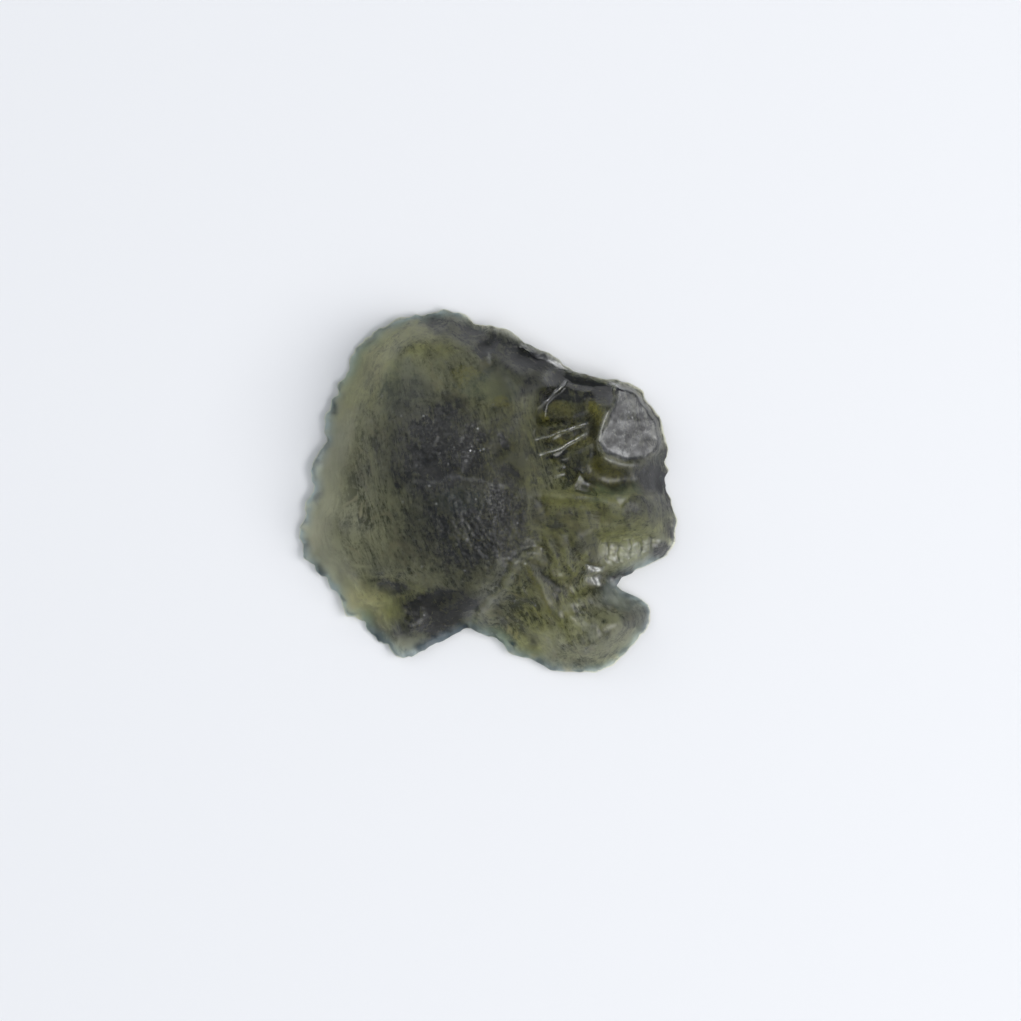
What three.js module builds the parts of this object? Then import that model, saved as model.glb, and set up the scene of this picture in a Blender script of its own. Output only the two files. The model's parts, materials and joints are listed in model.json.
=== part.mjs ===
// A moldavite: a flat, lobed splash of natural green glass, lying on its flatter side.
// Millimetres, +Z up. The origin is the middle of the stone's box, on the level of the flat
// spot that it rests on. Seen from above, +X is to the right and +Y is up.
import * as THREE from "three";
import { mergeVertices } from "three/addons/utils/BufferGeometryUtils.js";
import { ImprovedNoise } from "three/addons/math/ImprovedNoise.js";

// Driving dimensions
const LENGTH = 16.0; // along X, from lobe to lobe
const RIM_LEVEL = 0.5; // height of the rim's outermost line above the table
const RIM_WAVE = { height: 0.3, broad: 2.2, fine: 0.7 }; // how that line rises and dips
const EDGE_ROUNDING = 0.85; // how far in the rounded edge reaches
const EDGE_RISE = 1.1; // of the rounded edge above the rim line
const LEAST_EDGE = { above: 0.25, below: 0.05 }; // the stone never gets thinner than this at the rim line
const TILT = { rise: 0.1, toward: 40 }; // the upper side rises this much per mm, toward the upper right
const CROWN_RISE = 2.0; // from the top of the edge to the crown
const CROWN_REACH = 4.6; // how far in the crown is reached
const REST_RADIUS = 2.6; // of the flat spot underneath
const BOWL = 0.008; // upward curve of the under side, per mm squared
const PITS_START = 0.12; // the under side's pits are full where the bowl is this high

// Mesh
const RINGS = 34; // from the heart to the rim
const EVENING_PASSES = 25; // rounds of evening out the rings
const LEAST_AREA = 1e-3; // of a triangle in plan, doubled
const SAME = 1e-6; // places closer than this are the same

// The outline seen from above, clockwise from the top: the scalloped rim with its two notches.
const OUTLINE = [
  // top, and the broken edge down to the right
  [-1.54, 7.67], [-0.9, 7.5], [-0.6, 7.15], [0.06, 7.06], [1.07, 6.7], [1.87, 6.13],
  [2.55, 5.86], [3.22, 5.48], [3.52, 5.17], [4.32, 4.89], [5.16, 4.72], [6.17, 4.56],
  // right side
  [6.63, 4.2], [6.93, 3.65], [7.35, 3.15], [7.52, 2.51], [7.68, 1.84], [7.58, 1.46],
  [7.73, 1.0], [7.54, 0.45], [7.73, -0.14], [7.98, -0.85], [8.02, -1.53], [7.94, -2.33],
  // right notch
  [7.47, -2.79], [6.84, -3.13], [6.17, -3.47], [5.71, -3.72], [5.5, -4.05], [5.92, -4.31],
  // bottom lobe
  [6.51, -4.55], [6.93, -4.93], [6.97, -5.36], [6.67, -5.95], [6.25, -6.54], [5.66, -7.13],
  [4.99, -7.53], [4.23, -7.7], [3.14, -7.65], [2.51, -7.51], [1.92, -7.17], [1.16, -6.96],
  // bottom notch and the lower left lobe
  [0.74, -6.62], [0.57, -6.24], [-0.06, -6.12], [-0.74, -5.76], [-1.49, -6.16], [-2.38, -6.58],
  [-3.14, -7.0], [-3.68, -7.07], [-4.11, -6.75], [-4.53, -6.37], [-5.03, -5.99], [-5.24, -5.44],
  // left side, with its small steps
  [-5.92, -5.34], [-6.21, -4.9], [-6.42, -4.27], [-6.97, -3.68], [-7.52, -3.07], [-7.89, -2.41],
  [-7.98, -1.87], [-7.85, -1.28], [-7.68, -0.56], [-7.35, 0.11], [-7.43, 0.79], [-7.18, 1.5],
  [-6.84, 2.26], [-6.88, 2.98], [-6.59, 3.78], [-6.25, 4.62], [-5.79, 5.29], [-5.66, 6.05],
  [-5.12, 6.43], [-4.36, 6.98], [-3.43, 7.42], [-2.42, 7.55],
];
const RIM_STEPS = 8; // sides of the measuring polygon between two points of the outline
const HEART = [-0.32, -2.24]; // the point from which the whole outline can be seen

// Broad forms of the upper side: centre, half-lengths, turn in degrees, and how far the surface
// rises in the middle (sinks, when below zero).
const FORMS = [
  { name: "core", at: [-1.4, 1.3], half: [3.4, 4.2], turn: 25, rise: 0.7 },
  { name: "core foot", at: [-1.6, -2.6], half: [2.4, 1.9], turn: 20, rise: 0.3 },
  { name: "upper right shoulder", at: [2.2, 4.3], half: [2.2, 1.0], turn: -28, rise: 0.4 },
  { name: "fracture hollow", at: [3.3, 2.6], half: [1.75, 2.2], turn: 12, rise: -1.5 },
  { name: "dark hollow", at: [5.2, 0.6], half: [2.6, 0.75], turn: -3, rise: -0.85 },
  { name: "left shelf", at: [-5.9, 0.8], half: [1.9, 5.6], turn: -10, rise: -0.35 },
  { name: "left swell", at: [-6.2, -1.6], half: [1.3, 1.6], turn: 0, rise: 0.25 },
  { name: "lower left hollow", at: [-3.4, -4.4], half: [2.2, 1.0], turn: -12, rise: -0.5 },
  { name: "right lobe", at: [6.2, -2.2], half: [1.8, 1.2], turn: 20, rise: -0.55 },
  { name: "notch groove", at: [4.7, -3.5], half: [1.5, 0.6], turn: 25, rise: -0.6 },
  { name: "bottom lobe", at: [3.2, -5.3], half: [3.4, 2.1], turn: 22, rise: -0.55 },
  { name: "lobe knob", at: [4.7, -6.0], half: [1.4, 0.9], turn: 30, rise: 0.3 },
  { name: "notch lobe", at: [0.2, -5.4], half: [0.7, 0.6], turn: 0, rise: 0.3 },
  { name: "top groove", at: [0.1, 5.8], half: [0.45, 1.5], turn: 8, rise: -0.5 },
];
const FORM_REACH = 1.3; // a form has faded out at this many of its half-lengths

// Ledges: going along the line, the ground on its left lies lower by the drop.
const LEDGES = [
  { name: "long ledge",
    line: [[7.9, -0.1], [4.6, -0.08], [2.0, 0.12], [-0.3, 0.42], [-2.4, 0.16], [-3.9, -0.4]],
    drop: -0.5, reach: 2.0 },
  { name: "lobe scarp",
    line: [[-0.74, -6.0], [-0.1, -4.8], [0.5, -3.95], [1.0, -3.0], [1.9, -2.4], [3.2, -2.5]],
    drop: -0.55, reach: 1.8 },
  { name: "hollow wall",
    line: [[2.9, 4.9], [2.1, 4.1], [1.85, 3.0], [1.95, 1.6], [2.4, 0.5]],
    drop: 0.5, reach: 1.2 },
];
const LEDGE_WIDTH = 0.25; // how wide the drop of a ledge is
const LEDGE_ENDS = 6; // a ledge fades out over one part in this many at each end

// Ridges standing up from the fracture hollow.
const RIDGES = [
  { name: "upper hackle", line: [[2.0, 3.3], [3.4, 4.7]], height: 0.3 },
  { name: "lower hackle", line: [[1.9, 1.9], [4.2, 2.75]], height: 0.35 },
];
const RIDGE_WIDTH = 0.32; // half-width at the foot of a ridge
const RIDGE_ENDS = 4; // a ridge fades out over one part in this many at each end

// Broken faces, as planes in an oval: its centre, half-lengths and turn, the bearing that the
// face looks toward (degrees from +X), its level in the middle, and how steeply it falls that way.
const BROKEN_FACES = [
  { name: "grey facet", at: [6.15, 2.75], half: [1.45, 1.85], turn: -12,
    facing: 8, level: 2.35, fall: 0.45 },
  { name: "upper right bevel", at: [1.9, 5.55], half: [3.3, 1.15], turn: -27,
    facing: 63, level: 2.3, fall: 1.2 },
];
const FACE_BORDER = 0.1; // share of the oval over which a broken face comes in

// Etched sculpture: round-bottomed scallops, stretched along the flow of the glass.
const TOP_SCALLOPS = { size: 0.95, depth: 0.26, stretch: 1.7, turn: 100, seed: 3 };
const UNDER_SCALLOPS = { size: 1.5, depth: 0.4, stretch: 1.4, turn: 35, seed: 11 };
const SWELL = { depth: 0.25, pitch: 1.3 }; // gentle unevenness between the scallops
const LAYERS = { rimBroad: 4.2, rimFine: 8.6, swell: 1.7 }; // places in the noise, well apart

const noise = new ImprovedNoise();
const unit = (t) => Math.min(1, Math.max(0, t));
const smooth = (t) => THREE.MathUtils.smoothstep(t, 0, 1);
const fadeEnds = (along, parts) => smooth(along * parts) * smooth((1 - along) * parts);

// The outline as one smooth closed curve, and as a fine polygon to measure distances from.
const rim = new THREE.CatmullRomCurve3(
  OUTLINE.map(([x, y]) => new THREE.Vector3(x, y, 0)), true, "centripetal");
const rimPolygon = rim.getSpacedPoints(OUTLINE.length * RIM_STEPS).map(({ x, y }) => [x, y]);

// Distance from a point to a line of points, which side of it the point is on (left is above
// zero), and how far along the line the nearest place lies, from 0 to 1.
function nearest([x, y], line) {
  let distance = Infinity;
  let side = 0;
  let along = 0;
  for (let i = 0; i + 1 < line.length; i++) {
    const [startX, startY] = line[i];
    const stepX = line[i + 1][0] - startX;
    const stepY = line[i + 1][1] - startY;
    const dot = (x - startX) * stepX + (y - startY) * stepY;
    const t = unit(dot / (stepX * stepX + stepY * stepY));
    const here = Math.hypot(x - startX - t * stepX, y - startY - t * stepY);
    if (here >= distance) continue;
    distance = here;
    side = Math.sign(stepX * (y - startY) - stepY * (x - startX));
    along = (i + t) / (line.length - 1);
  }
  return { distance, side, along };
}

// A point seen in axes that are turned by an angle in degrees.
function turned([x, y], degrees) {
  const cos = Math.cos(THREE.MathUtils.degToRad(degrees));
  const sin = Math.sin(THREE.MathUtils.degToRad(degrees));
  return [x * cos + y * sin, y * cos - x * sin];
}

// A point's place in a turned oval: 0 in its middle, 1 on its edge.
function inOval([x, y], { at, half, turn }) {
  const [along, across] = turned([x - at[0], y - at[1]], turn);
  return Math.hypot(along / half[0], across / half[1]);
}

// A repeatable number from 0 to 1 for a cell of a grid.
function scatter(i, j, seed) {
  const [perColumn, perRow, perSeed, perCell] = [127.1, 311.7, 74.7, 1.3];
  return (1 + Math.sin(i * perColumn + j * perRow + seed * perSeed + i * j * perCell)) / 2;
}

// Scallops that meet in sharp ridges: 0 on the ridges, down to -depth in the pits.
function scallops(p, { size, depth, stretch, turn, seed }) {
  const [along, across] = turned(p, turn);
  const x = along / (size * stretch);
  const y = across / size;
  let nearestSquare = 1;
  for (let i = Math.floor(x) - 1; i <= Math.floor(x) + 1; i++) {
    for (let j = Math.floor(y) - 1; j <= Math.floor(y) + 1; j++) {
      const dx = i + scatter(i, j, seed) - x;
      const dy = j + scatter(i, j, seed + 1) - y;
      nearestSquare = Math.min(nearestSquare, dx * dx + dy * dy);
    }
  }
  return depth * (nearestSquare - 1);
}

// Height of the rim line, which rises and dips along the edge.
function rimLevel([x, y]) {
  const broad = noise.noise(x / RIM_WAVE.broad, y / RIM_WAVE.broad, LAYERS.rimBroad);
  const fine = noise.noise(x / RIM_WAVE.fine, y / RIM_WAVE.fine, LAYERS.rimFine);
  return RIM_LEVEL + RIM_WAVE.height * (broad + fine / 2);
}

// The section of the rounded edge: 0 on the rim line, 1 from the end of the rounding inward.
function rounded(inside) {
  return Math.sqrt(1 - Math.pow(1 - unit(inside / EDGE_ROUNDING), 2));
}

// The upper side above the rim line, at a plan point this far inside the outline.
function upperSide(p, inside) {
  const edge = EDGE_RISE + TILT.rise * turned(p, TILT.toward)[0];
  const crown = CROWN_RISE * (1 - Math.pow(1 - unit(inside / CROWN_REACH), 2));
  const fade = smooth(inside / EDGE_ROUNDING);
  let z = edge * rounded(inside) + crown;
  for (const form of FORMS) {
    z += fade * form.rise * smooth(FORM_REACH - inOval(p, form));
  }
  for (const { line, drop, reach } of LEDGES) {
    const { distance, side, along } = nearest(p, line);
    const step = smooth(distance / LEDGE_WIDTH) * (1 - smooth(distance / reach));
    z -= fade * fadeEnds(along, LEDGE_ENDS) * step * (side * drop) / 2;
  }
  for (const { line, height } of RIDGES) {
    const { distance, along } = nearest(p, line);
    z += height * (1 - unit(distance / RIDGE_WIDTH)) * fadeEnds(along, RIDGE_ENDS);
  }
  z += fade * scallops(p, TOP_SCALLOPS);
  z += fade * SWELL.depth * noise.noise(p[0] / SWELL.pitch, p[1] / SWELL.pitch, LAYERS.swell);
  return z;
}

// A height cut down to the broken faces.
function broken(p, z) {
  for (const face of BROKEN_FACES) {
    const [out] = turned([p[0] - face.at[0], p[1] - face.at[1]], face.facing);
    const inFace = smooth((1 - inOval(p, face)) / FACE_BORDER);
    z = THREE.MathUtils.lerp(z, Math.min(z, face.level - face.fall * out), inFace);
  }
  return z;
}

// The under side: a shallow bowl, pitted, with its middle worn flat where the stone rests.
function underSide(p, inside) {
  const bowl = BOWL * (p[0] * p[0] + p[1] * p[1] - REST_RADIUS * REST_RADIUS);
  const pitted = smooth(inside / EDGE_ROUNDING) * smooth(bowl / PITS_START);
  const edge = (rimLevel(p) - bowl) * (1 - rounded(inside));
  return Math.max(0, bowl + edge - pitted * scallops(p, UNDER_SCALLOPS));
}

// Way round a unit diamond |x| + |y| = 1, in quarter turns from +X.
function quarterTurns(x, y) {
  if (x > 0 && y >= 0) return y;
  if (x <= 0 && y > 0) return 1 - x;
  if (x < 0 && y <= 0) return 2 - y;
  return 3 + x;
}

// Evens out the mesh in plan: each inner point moves to the middle of its neighbours, unless
// that would turn over one of its triangles.
function evenOut(plan, faces, isInner) {
  const facesOf = plan.map(() => []);
  const neighbours = plan.map(() => new Set());
  const area = ([a, b, c]) =>
    (plan[b][0] - plan[a][0]) * (plan[c][1] - plan[a][1]) -
    (plan[b][1] - plan[a][1]) * (plan[c][0] - plan[a][0]);
  for (const face of faces) {
    for (const corner of face) {
      facesOf[corner].push(face);
      face.filter((other) => other !== corner).forEach((other) => neighbours[corner].add(other));
    }
  }
  const facing = new Map(faces.map((face) => [face, Math.sign(area(face))]));
  const turnsOver = (face) => area(face) * facing.get(face) < LEAST_AREA;
  for (let pass = 0; pass < EVENING_PASSES; pass++) {
    plan.forEach((place, i) => {
      if (!isInner[i]) return;
      const around = [...neighbours[i]].map((n) => plan[n]);
      plan[i] = [0, 1].map((k) => around.reduce((sum, p) => sum + p[k], 0) / around.length);
      if (facesOf[i].some(turnsOver)) plan[i] = place;
    });
  }
}

// An octahedron's rings become rings of the outline, shrunk towards the heart. Its upper half
// takes the upper side's heights, its lower half the under side's, and they meet at the rim.
function stoneGeometry() {
  const ball = new THREE.OctahedronGeometry(1, RINGS - 1);
  ball.deleteAttribute("normal");
  ball.deleteAttribute("uv");
  const stone = mergeVertices(ball);
  const places = stone.getAttribute("position");
  const plan = [];
  const half = []; // 1 for the upper half, -1 for the lower, 0 on the rim
  for (let i = 0; i < places.count; i++) {
    const v = new THREE.Vector3().fromBufferAttribute(places, i);
    v.divideScalar(v.manhattanLength());
    const ring = 1 - Math.abs(v.z);
    const round = ring < SAME ? 0 : quarterTurns(v.x / ring, v.y / ring) / 4;
    const edge = rim.getPointAt(1 - round);
    plan.push([
      THREE.MathUtils.lerp(HEART[0], edge.x, ring),
      THREE.MathUtils.lerp(HEART[1], edge.y, ring),
    ]);
    half.push(Math.abs(v.z) < SAME ? 0 : Math.sign(v.z));
  }
  const corners = Array.from(stone.getIndex().array);
  const faces = [];
  while (corners.length) faces.push(corners.splice(0, 3));
  evenOut(plan, faces, half);
  plan.forEach((p, i) => {
    const inside = nearest(p, rimPolygon).distance;
    const level = rimLevel(p);
    const top = Math.max(level + LEAST_EDGE.above, broken(p, level + upperSide(p, inside)));
    const bottom = Math.min(level - LEAST_EDGE.below, underSide(p, inside));
    places.setXYZ(i, p[0], p[1], [bottom, level, top][half[i] + 1]);
  });
  return stone;
}

// The stone at its real length, with the origin under the middle of its box.
function moldavite() {
  const geometry = stoneGeometry();
  geometry.computeBoundingBox();
  const { min, max } = geometry.boundingBox;
  const scale = LENGTH / (max.x - min.x);
  geometry.translate(-(min.x + max.x) / 2, -(min.y + max.y) / 2, -min.z);
  geometry.scale(scale, scale, scale);
  geometry.computeVertexNormals();
  const glass = new THREE.MeshStandardMaterial({ color: 0x5a5e40, roughness: 0.35, metalness: 0 });
  const mesh = new THREE.Mesh(geometry, glass);
  mesh.name = "moldavite";
  return mesh;
}

const part = new THREE.Group();
part.add(moldavite());
export default part;
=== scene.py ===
import json
import math
import bmesh
import bpy
import numpy as np
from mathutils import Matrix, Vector, kdtree, noise

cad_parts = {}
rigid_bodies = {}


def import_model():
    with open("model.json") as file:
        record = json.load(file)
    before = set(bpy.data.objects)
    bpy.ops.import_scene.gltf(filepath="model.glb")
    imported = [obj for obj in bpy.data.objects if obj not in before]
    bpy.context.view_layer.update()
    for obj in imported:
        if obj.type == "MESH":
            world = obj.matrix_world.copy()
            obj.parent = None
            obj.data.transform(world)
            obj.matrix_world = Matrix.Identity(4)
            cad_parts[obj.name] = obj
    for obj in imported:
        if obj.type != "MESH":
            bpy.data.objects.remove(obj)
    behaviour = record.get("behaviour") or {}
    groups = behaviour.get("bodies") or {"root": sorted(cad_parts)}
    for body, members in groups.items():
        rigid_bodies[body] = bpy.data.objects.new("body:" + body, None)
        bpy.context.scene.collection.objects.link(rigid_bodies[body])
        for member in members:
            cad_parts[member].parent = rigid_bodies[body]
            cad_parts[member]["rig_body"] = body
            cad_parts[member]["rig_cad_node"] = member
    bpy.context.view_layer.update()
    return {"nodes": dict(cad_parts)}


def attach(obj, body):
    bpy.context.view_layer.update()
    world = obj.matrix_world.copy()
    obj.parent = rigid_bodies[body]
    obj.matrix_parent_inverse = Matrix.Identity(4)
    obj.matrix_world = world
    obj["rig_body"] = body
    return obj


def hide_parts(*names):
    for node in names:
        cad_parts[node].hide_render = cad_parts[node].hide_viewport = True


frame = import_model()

noise.seed_set(3)
mm = 0.001  # places on the stone are in millimetres, x to the right and y up as seen from above


def deselectAll():
    for thing in bpy.context.selected_objects:
        thing.select_set(False)


def makeActive(thing):
    deselectAll()
    thing.select_set(True)
    bpy.context.view_layer.objects.active = thing


# soft step from 0 to 1
def smoothStep(value):
    value = np.clip(value, 0, 1)
    return value * value * (3 - 2 * value)


def places(thing):
    flat = np.empty(len(thing.data.vertices) * 3, np.float32)
    thing.data.vertices.foreach_get("co", flat)
    return flat.reshape(-1, 3).astype(float) / mm


def setPlaces(thing, co):
    thing.data.vertices.foreach_set("co", (co * mm).astype(np.float32).ravel())
    thing.data.update()


def normals(thing):
    flat = np.empty(len(thing.data.vertices) * 3, np.float32)
    thing.data.vertex_normals.foreach_get("vector", flat)
    return flat.reshape(-1, 3).astype(float)


def vertexMask(thing, name, weights, levels=40):
    group = thing.vertex_groups.new(name=name)
    steps = np.round(np.clip(weights, 0, 1) * levels).astype(int)
    for step in np.unique(steps):
        if step:
            group.add(np.nonzero(steps == step)[0].tolist(), step / levels, "REPLACE")


# borders of patches and lines are made ragged by a noise of this reach and pitch
def ragged(co, reach, pitch):
    shifts = [noise.noise_vector(Vector(p) / pitch) for p in co]
    return co + reach * np.array([tuple(s) for s in shifts])


# oval patch
def oval(co, at, half, turn=0, soft=0.8):
    a = math.radians(turn)
    x, y = co[:, 0] - at[0], co[:, 1] - at[1]
    along = x * math.cos(a) + y * math.sin(a)
    across = y * math.cos(a) - x * math.sin(a)
    return smoothStep((1 - np.hypot(along / half[0], across / half[1])) / soft + 0.5)


# distance to a line of points, place along it from 0 to 1, and side (left is above zero)
def toLine(co, line):
    best = np.full(len(co), 1e9)
    along, side = np.zeros(len(co)), np.zeros(len(co))
    for i in range(len(line) - 1):
        start = np.array(line[i], float)
        step = np.array(line[i + 1], float) - start
        off = co[:, :2] - start
        t = np.clip(off @ step / (step @ step), 0, 1)
        far = np.hypot(off[:, 0] - t * step[0], off[:, 1] - t * step[1])
        near = far < best
        best[near] = far[near]
        along[near] = (i + t[near]) / (len(line) - 1)
        side[near] = np.sign(step[0] * off[:, 1] - step[1] * off[:, 0])[near]
    return best, along, side


def stroke(co, line, wide, ends=0.12):
    far, along, _ = toLine(co, line)
    taper = smoothStep(along / ends) * smoothStep((1 - along) / ends)
    return (1 - smoothStep(far / wide)) * taper


# area inside a closed line
def field(co, corners, soft=0.15):
    loop = [*corners, corners[0]]
    within = np.zeros(len(co), bool)
    for (ax, ay), (bx, by) in zip(loop, loop[1:]):
        if ay != by:
            across = ax + (co[:, 1] - ay) * (bx - ax) / (by - ay)
            within ^= ((co[:, 1] > ay) != (co[:, 1] > by)) & (co[:, 0] < across)
    far = toLine(co, loop)[0]
    return smoothStep(np.where(within, far, -far) / soft + 0.5)


# lines and areas seen on the stone
lines = {
    "ridgeA": [(2.0, 3.3), (2.55, 3.86), (2.97, 4.24), (3.4, 4.68)],
    "ridgeB": [(1.9, 2.12), (2.46, 2.26), (3.03, 2.5), (3.6, 2.7), (4.3, 2.87)],
    "ridgeC": [(2.05, 1.5), (2.63, 1.67), (3.14, 1.86), (3.68, 2.15), (4.25, 2.55)],
    "ripple1": [(2.84, 0.96), (3.3, 1.08)],
    "ripple2": [(2.8, 0.66), (3.3, 0.79)],
    "slotB": [(2.25, 1.9), (2.88, 2.15), (3.52, 2.45)],
    "slotC": [(2.3, 1.32), (2.97, 1.5), (3.56, 1.82)],
    "slotD": [(2.84, 0.82), (3.3, 0.94)],
    "crackA": [(4.99, -1.9), (5.03, -2.45), (4.95, -2.9)],
    "crackB": [(5.49, -2.2), (5.42, -2.55), (5.5, -3.0)],
    "crackC": [(5.9, -1.95), (5.97, -2.3), (5.92, -2.85)],
    "crackD": [(6.36, -2.05), (6.42, -2.4), (6.36, -2.75)],
    "crackE": [(6.84, -1.85), (6.8, -2.15), (6.86, -2.55)],
    "swirlA": [(1.45, -2.79), (1.96, -3.63), (2.38, -4.48), (2.67, -5.32)],
    "swirlB": [(1.92, -2.71), (2.42, -3.38), (2.88, -4.22), (3.14, -5.06)],
    "swirlC": [(2.76, -3.17), (3.22, -3.76), (3.6, -4.22)],
    "swirlD": [(3.05, -2.71), (3.47, -3.04), (3.68, -3.59), (3.64, -4.18)],
    "topWedge": [(0.4, 6.98), (0.15, 6.18), (-0.36, 5.25)],
    "topFold": [(0.06, 5.88), (0.06, 5.29)],
    "ledge": [(2.21, 0.05), (3.47, -0.1), (4.74, -0.16), (6.0, -0.14), (7.64, -0.08)],
    "crease": [(-3.85, -0.01), (-3.18, 0.32), (-1.9, 0.49), (-0.32, 0.45), (0.86, 0.24), (2.21, 0.05)],
    "scarp": [(2.55, -2.37), (1.58, -2.45), (1.03, -2.88), (0.53, -4.05), (0.02, -4.48), (-0.48, -5.06),
              (-0.61, -5.78)],
    "goldLine": [(-5.83, -2.99), (-5.49, -3.12), (-5.07, -3.16), (-4.74, -3.14)],
    "rightEdge": [(7.55, -0.05), (7.85, -1.2), (7.7, -2.3), (6.9, -2.95), (6.2, -3.35), (5.5, -3.9)],
    "lobeSeam": [(3.4, -5.2), (3.8, -4.75), (4.6, -4.6), (5.3, -4.5)],
    "cornerEdge": [(-3.2, -6.7), (-2.2, -6.3), (-1.3, -5.9), (-0.75, -5.6)],
    "grooveA": [(-2.24, 2.97), (-1.86, 2.13), (-1.2, 1.2)],
    "grooveB": [(-1.2, 2.78), (-0.64, 1.76), (-0.74, 0.91), (0.1, 0.54)],
    "grooveC": [(0.39, 2.32), (0.67, 1.76), (0.85, 1.47)],
    "grooveD": [(-2.7, 1.6), (-2.61, 0.6)],
    "grooveE": [(0.29, 0.91), (1.6, 0.63)],
    "creaseFoot": [(-4.1, 0.15), (-3.54, 0.4), (-2.7, 0.65), (-2.14, 0.8), (-1.39, 0.8), (-0.55, 0.62),
                   (0.1, 0.7)],
    "blackBand": [(2.1, 4.95), (3.4, 4.6), (4.5, 4.45), (5.0, 4.2), (5.1, 3.5)],
    "flakeLow": [(3.35, 5.2), (3.95, 5.02), (4.75, 4.82)],
    "outerFlake": [(0.06, 7.06), (1.07, 6.7), (1.87, 6.13), (2.55, 5.86), (3.22, 5.48), (3.52, 5.17),
                   (4.32, 4.89), (5.16, 4.72)],
    "amberBow": [(3.9, 3.5), (4.35, 3.55), (4.65, 3.3), (4.75, 2.95), (4.5, 2.6)],
    "facetStrip": [(5.4, 4.3), (5.25, 3.5), (5.0, 2.7), (4.85, 2.05)],
    "flakeEnd": [(5.0, 4.72), (5.35, 4.45), (5.8, 4.25)],
    "wallGlint": [(1.95, 3.15), (2.0, 2.7), (1.9, 2.2)],
    "blueA": [(-7.65, -2.75), (-7.1, -3.3), (-6.8, -3.8), (-6.5, -4.3)],
    "blueB": [(-5.15, -5.8), (-4.7, -6.25), (-4.2, -6.6)],
    "blueC": [(-6.3, 4.15), (-6.45, 3.7), (-6.7, 3.2)],
    "blueD": [(-6.85, 0.2), (-7.2, -0.3), (-7.4, -0.7)],
    "blueE": [(-7.1, 1.4), (-7.25, 0.9)],
    "bevelFoot": [(-2.2, 6.9), (-1.0, 6.5), (0.2, 5.9), (1.4, 5.35), (2.5, 4.85)],
    "rightRim": [(7.3, 2.4), (7.5, 1.5), (7.5, 0.6), (7.7, -0.4), (7.8, -1.3), (7.7, -2.2)],
    "bevelEdge": [(0.5, 6.85), (1.4, 6.35), (2.3, 5.85), (3.3, 5.35), (4.2, 4.95), (5.2, 4.7)],
    "flake": [(0.35, 7.0), (1.28, 6.6), (1.98, 6.13), (2.68, 5.78), (3.46, 5.25), (4.35, 4.92),
              (5.35, 4.68)],
}
areas = {
    "hollow": [(1.85, 3.1), (1.9, 2.1), (2.2, 1.5), (2.65, 1.2), (2.95, 0.7), (3.5, 0.2), (4.3, 0.7),
               (4.9, 1.6), (4.7, 2.1), (5.05, 3.0), (5.25, 3.6), (4.95, 4.65), (3.6, 4.7), (2.4, 4.85),
               (2.0, 3.9)],
    "facet": [(5.3, 4.5), (6.1, 4.4), (6.7, 3.7), (7.2, 3.05), (7.4, 2.2), (7.2, 1.7), (6.4, 1.28),
              (5.75, 1.2), (4.8, 1.6), (4.5, 2.1), (4.95, 3.0), (5.25, 3.6)],
    "cells": [(4.6, -1.95), (5.6, -1.85), (6.8, -1.75), (7.4, -1.9), (7.3, -2.5), (6.6, -2.85), (5.7, -3.2),
              (4.9, -3.3), (4.55, -2.7)],
    "wedge": [(3.85, 0.8), (3.65, 0.4), (3.6, 0.0), (4.6, -0.2), (4.3, 0.2)],
    "triangle": [(5.2, -0.18), (5.95, -0.14), (5.53, -0.67)],
    "chipA": [(4.1, -3.0), (4.9, -3.15), (4.85, -3.4), (4.15, -3.42)],
    "chipB": [(4.3, -3.48), (4.62, -3.52), (4.78, -3.92), (4.4, -3.98)],
    "hollowFloor": [(2.2, 2.9), (2.3, 4.0), (3.2, 4.4), (4.3, 4.2), (4.4, 3.3), (3.6, 2.9)],
    "saddle": [(0.0, -1.5), (1.8, -1.5), (2.0, 0.0), (1.9, 1.8), (0.6, 2.0), (0.0, 0.5)],
    "shelf": [(2.0, -0.4), (4.4, -0.4), (4.5, -1.8), (3.6, -2.3), (2.2, -2.2)],
    "hollowFoot": [(2.9, 1.3), (3.4, 0.9), (4.2, 0.9), (4.6, 1.6), (4.4, 2.0), (3.6, 1.7)],
    "flakeFace": [(1.4, 6.42), (2.5, 5.86), (3.3, 5.36), (3.6, 5.08), (3.0, 5.18), (2.2, 5.62),
                  (1.4, 6.15)],
}

# the stone's mesh: a copy of the solid, made finer, softened and brought to a thin edge
stoneMesh = {
    "cuts": 3,
    "softRounds": 8,
    "calmRounds": 70,
    "softness": 0.5,
    "keepRim": 0.35,
    "rimThin": 0.1,
    "rimReach": 1.4,
    "rimDroop": 0.2,
    "droopReach": 1.8,
    "finer": ("hollow", "facet", "cells"),
}


# plan distance from the rim, and the rim's height there
def measureRim(thing):
    mesh = bmesh.new()
    mesh.from_mesh(thing.data)
    mesh.verts.ensure_lookup_table()
    rim = set()
    for edge in mesh.edges:
        one, other = edge.link_faces
        if one.normal.z * other.normal.z <= 0:  # an upward face meets a downward one
            rim.update(v.index for v in edge.verts)
    rim = sorted(rim)
    tree = kdtree.KDTree(len(rim))
    for i, index in enumerate(rim):
        tree.insert((*mesh.verts[index].co.xy, 0), i)
    tree.balance()
    hits = [tree.find((*v.co.xy, 0)) for v in mesh.verts]
    far = np.array([hit[2] for hit in hits]) / mm
    level = np.array([mesh.verts[rim[hit[1]]].co.z for hit in hits]) / mm
    mesh.free()
    return far, level


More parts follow.
